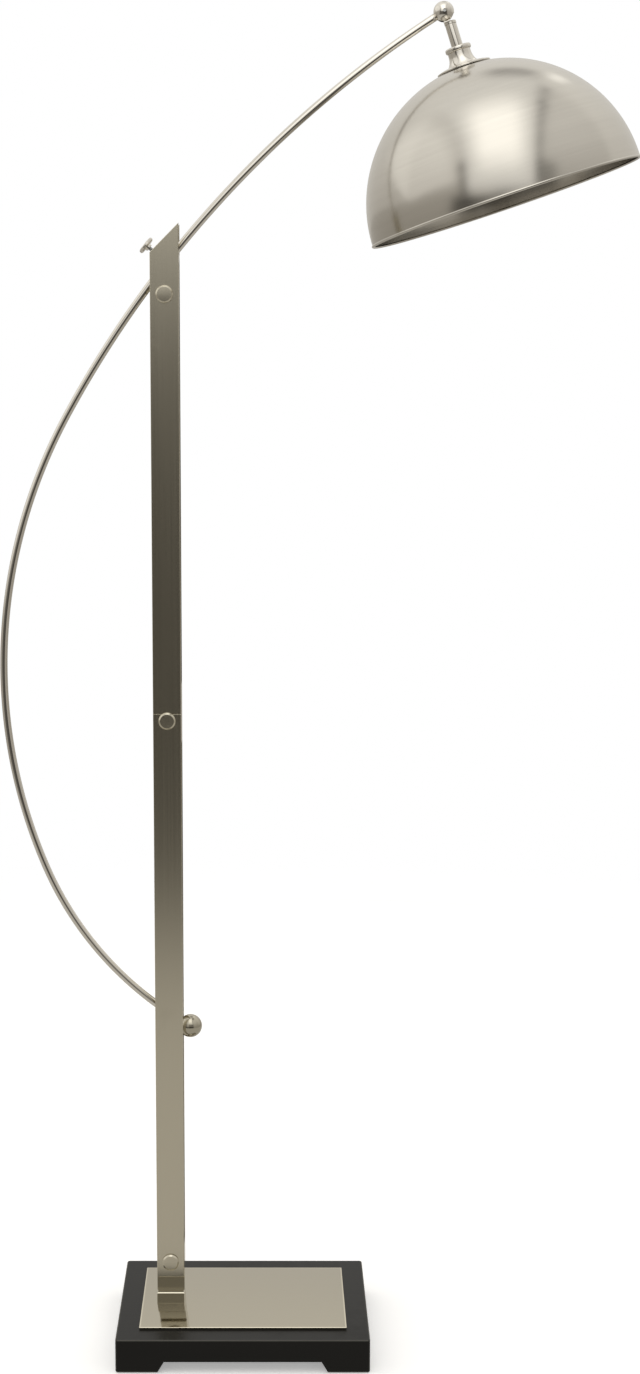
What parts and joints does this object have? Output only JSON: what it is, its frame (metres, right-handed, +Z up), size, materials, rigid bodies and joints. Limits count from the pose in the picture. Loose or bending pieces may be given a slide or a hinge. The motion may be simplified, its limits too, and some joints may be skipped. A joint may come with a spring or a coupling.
{
  "type": "adjustable arm floor lamp",
  "caption": "Floor lamp with a black plinth, a two-bar post, a curved rod arm held in a clamp, and a tilting metal dome shade.",
  "frame": {"origin": "on the floor under the middle of the base", "axes": "+Z up, +X from the post towards the shade, -Y the lamp's front"},
  "size_m": [0.8052, 0.3484, 1.7271],
  "materials": {
    "black_lacquer_wood": "black satin lacquer",
    "cast_weight": "rough cast, black paint",
    "black_steel": "matt black paint",
    "zinc_steel": "zinc plated",
    "black_rubber": "matt",
    "nickel_satin": "brushed satin nickel plate",
    "nickel_polished": "polished nickel plate",
    "shade_nickel": "satin nickel plate, brushed round the axis",
    "white_nylon": "matt",
    "bare_brass": "plain turned",
    "dark_plastic": "matt",
    "lead_insulation": "satin",
    "bulb_metal": "rolled thread",
    "frosted_glass": "frosted white"
  },
  "bodies": {
    "stand": {"base_plinth": "black_lacquer_wood", "base_weight": "cast_weight", "base_cover": "black_steel", "cover_screws": "zinc_steel", "foot_pads": "black_rubber", "base_plate": "nickel_satin", "foot_bolts": "zinc_steel", "foot_washers": "zinc_steel", "foot_block": "nickel_satin", "post_bar_front_lower": "nickel_satin", "post_bar_front_upper": "nickel_satin", "post_bar_rear_lower": "nickel_satin", "post_bar_rear_upper": "nickel_satin", "splice_block": "nickel_satin", "post_bolts": "nickel_polished", "post_cap_nuts": "nickel_polished"},
    "clamp": {"clamp_block": "nickel_satin", "clamp_washers": "white_nylon", "clamp_shoe": "bare_brass"},
    "clamp_thumbscrew": {"clamp_screw": "zinc_steel", "clamp_knob": "nickel_polished"},
    "arm": {"arm_tube": "nickel_polished", "lower_ball": "nickel_polished", "cord_bushing": "dark_plastic", "arm_lead": "lead_insulation", "knuckle_ball": "nickel_polished", "pivot_pin": "zinc_steel"},
    "head": {"neck_tang": "nickel_polished", "neck_tube": "nickel_polished", "cup_ring": "nickel_polished", "shade_cup": "nickel_polished", "shade_disc": "nickel_polished", "shade_dome": "shade_nickel", "shade_washer": "zinc_steel", "shade_nut": "bare_brass", "threaded_nipple": "bare_brass", "socket_cap": "bare_brass", "socket_body": "dark_plastic", "socket_insulator": "white_nylon", "screw_shell": "bare_brass", "centre_contact": "bare_brass", "head_lead": "lead_insulation", "bulb_base": "bulb_metal", "bulb_glass": "frosted_glass"},
    "switch": {"switch_knob": "dark_plastic"}
  },
  "joints": [
    {"name": "arm_tilt", "type": "hinge", "parent": "stand", "child": "clamp", "pos_m": [-0.0968, 0, 1.3715], "axis": [0, -1, 0], "range_deg": [0, 12]},
    {"name": "clamp_screw_turn", "type": "hinge", "parent": "clamp", "child": "clamp_thumbscrew", "pos_m": [-0.11807, 0, 1.43073], "axis": [-0.7792, 0, 0.6267], "continuous": true},
    {"name": "arm_slide", "type": "hinge", "parent": "clamp", "child": "arm", "pos_m": [0.96405, 0, 0.56038], "axis": [0, -1, 0], "range_deg": [0, 10]},
    {"name": "head_tilt", "type": "hinge", "parent": "arm", "child": "head", "pos_m": [0.2488, 0, 1.7144], "axis": [0, -1, 0], "range_deg": [-25, 45]},
    {"name": "switch_turn", "type": "hinge", "parent": "head", "child": "switch", "pos_m": [0.28208, 0, 1.6244], "axis": [0, 1, 0], "continuous": true}
  ]
}
